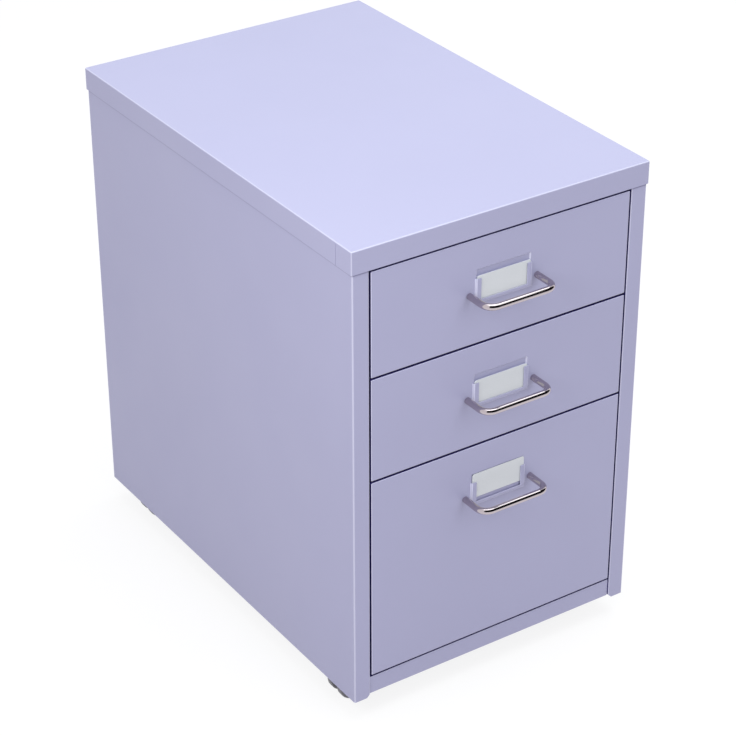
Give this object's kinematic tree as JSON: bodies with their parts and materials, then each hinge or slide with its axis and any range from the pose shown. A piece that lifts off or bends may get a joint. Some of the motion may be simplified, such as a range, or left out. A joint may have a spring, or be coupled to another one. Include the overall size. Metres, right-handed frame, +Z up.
{
  "type": "mobile drawer unit",
  "caption": "Low steel pedestal with an overhanging lid, stacked drawers with wire pulls and label holders, full-length slides and swivel castors.",
  "frame": {"origin": "on the floor, at the middle of the unit's whole box with its pulls", "axes": "+X to the right seen from the front, drawers open towards -Y, +Z up"},
  "size_m": [0.4, 0.6288, 0.62],
  "materials": {
    "painted_steel": "satin",
    "pull_chrome": "polished",
    "zinc_steel": "zinc plated",
    "slide_steel": "zinc plated",
    "card": "matt card",
    "castor_plastic": "matt",
    "bumper_rubber": "matt"
  },
  "bodies": {
    "cabinet": {"lid": "painted_steel", "left_side_panel": "painted_steel", "right_side_panel": "painted_steel", "rear_panel": "painted_steel", "base_panel": "painted_steel", "front_top_rail": "painted_steel", "front_bottom_rail": "painted_steel", "left_front_upright": "painted_steel", "left_rear_upright": "painted_steel", "right_front_upright": "painted_steel", "right_rear_upright": "painted_steel", "rear_bumpers": "bumper_rubber", "castor_screws": "zinc_steel", "upper_drawer_slide_outer_members": "slide_steel", "middle_drawer_slide_outer_members": "slide_steel", "lower_drawer_slide_outer_members": "slide_steel", "front_left_castor_plate": "zinc_steel", "front_right_castor_plate": "zinc_steel", "rear_left_castor_plate": "zinc_steel", "rear_right_castor_plate": "zinc_steel"},
    "upper_drawer": {"upper_drawer_front": "painted_steel", "upper_drawer_box": "painted_steel", "upper_drawer_back": "painted_steel", "upper_drawer_pull": "pull_chrome", "upper_drawer_pull_screws": "zinc_steel", "upper_drawer_label_holder": "painted_steel", "upper_drawer_label_card": "card", "upper_drawer_slide_inner_members": "slide_steel"},
    "upper_drawer_slide": {"upper_drawer_slide_middle_members": "slide_steel"},
    "middle_drawer": {"middle_drawer_front": "painted_steel", "middle_drawer_box": "painted_steel", "middle_drawer_back": "painted_steel", "middle_drawer_pull": "pull_chrome", "middle_drawer_pull_screws": "zinc_steel", "middle_drawer_label_holder": "painted_steel", "middle_drawer_label_card": "card", "middle_drawer_slide_inner_members": "slide_steel"},
    "middle_drawer_slide": {"middle_drawer_slide_middle_members": "slide_steel"},
    "lower_drawer": {"lower_drawer_front": "painted_steel", "lower_drawer_box": "painted_steel", "lower_drawer_back": "painted_steel", "lower_drawer_pull": "pull_chrome", "lower_drawer_pull_screws": "zinc_steel", "lower_drawer_label_holder": "painted_steel", "lower_drawer_label_card": "card", "lower_drawer_slide_inner_members": "slide_steel"},
    "lower_drawer_slide": {"lower_drawer_slide_middle_members": "slide_steel"},
    "front_left_castor": {"front_left_castor_housing": "castor_plastic"},
    "front_left_castor_wheelset": {"front_left_castor_axle": "zinc_steel", "front_left_castor_wheels": "castor_plastic"},
    "front_right_castor": {"front_right_castor_housing": "castor_plastic"},
    "front_right_castor_wheelset": {"front_right_castor_axle": "zinc_steel", "front_right_castor_wheels": "castor_plastic"},
    "rear_left_castor": {"rear_left_castor_housing": "castor_plastic"},
    "rear_left_castor_wheelset": {"rear_left_castor_axle": "zinc_steel", "rear_left_castor_wheels": "castor_plastic"},
    "rear_right_castor": {"rear_right_castor_housing": "castor_plastic"},
    "rear_right_castor_wheelset": {"rear_right_castor_axle": "zinc_steel", "rear_right_castor_wheels": "castor_plastic"}
  },
  "joints": [
    {"name": "upper_drawer_out", "type": "slide", "parent": "cabinet", "child": "upper_drawer", "axis": [0, -1, 0], "range_m": [0, 0.48]},
    {"name": "upper_drawer_slide_out", "type": "slide", "parent": "cabinet", "child": "upper_drawer_slide", "axis": [0, -1, 0], "range_m": [0, 0.24]},
    {"name": "middle_drawer_out", "type": "slide", "parent": "cabinet", "child": "middle_drawer", "axis": [0, -1, 0], "range_m": [0, 0.48]},
    {"name": "middle_drawer_slide_out", "type": "slide", "parent": "cabinet", "child": "middle_drawer_slide", "axis": [0, -1, 0], "range_m": [0, 0.24]},
    {"name": "lower_drawer_out", "type": "slide", "parent": "cabinet", "child": "lower_drawer", "axis": [0, -1, 0], "range_m": [0, 0.48]},
    {"name": "lower_drawer_slide_out", "type": "slide", "parent": "cabinet", "child": "lower_drawer_slide", "axis": [0, -1, 0], "range_m": [0, 0.24]},
    {"name": "front_left_castor_swivel", "type": "hinge", "parent": "cabinet", "child": "front_left_castor", "pos_m": [-0.1574, -0.2184, 0.05], "axis": [0, 0, 1], "continuous": true},
    {"name": "front_left_castor_roll", "type": "hinge", "parent": "front_left_castor", "child": "front_left_castor_wheelset", "pos_m": [-0.1714, -0.2184, 0.02], "axis": [0, 1, 0], "continuous": true},
    {"name": "front_right_castor_swivel", "type": "hinge", "parent": "cabinet", "child": "front_right_castor", "pos_m": [0.1574, -0.2184, 0.05], "axis": [0, 0, 1], "continuous": true},
    {"name": "front_right_castor_roll", "type": "hinge", "parent": "front_right_castor", "child": "front_right_castor_wheelset", "pos_m": [0.1434, -0.2184, 0.02], "axis": [0, 1, 0], "continuous": true},
    {"name": "rear_left_castor_swivel", "type": "hinge", "parent": "cabinet", "child": "rear_left_castor", "pos_m": [-0.1544, 0.2472, 0.05], "axis": [0, 0, 1], "continuous": true},
    {"name": "rear_left_castor_roll", "type": "hinge", "parent": "rear_left_castor", "child": "rear_left_castor_wheelset", "pos_m": [-0.1684, 0.2472, 0.02], "axis": [0, 1, 0], "continuous": true},
    {"name": "rear_right_castor_swivel", "type": "hinge", "parent": "cabinet", "child": "rear_right_castor", "pos_m": [0.1544, 0.2472, 0.05], "axis": [0, 0, 1], "continuous": true},
    {"name": "rear_right_castor_roll", "type": "hinge", "parent": "rear_right_castor", "child": "rear_right_castor_wheelset", "pos_m": [0.1404, 0.2472, 0.02], "axis": [0, 1, 0], "continuous": true}
  ],
  "couplings": [
    {"joint": "upper_drawer_slide_out", "follows": "upper_drawer_out", "ratio": 0.5},
    {"joint": "middle_drawer_slide_out", "follows": "middle_drawer_out", "ratio": 0.5},
    {"joint": "lower_drawer_slide_out", "follows": "lower_drawer_out", "ratio": 0.5}
  ]
}
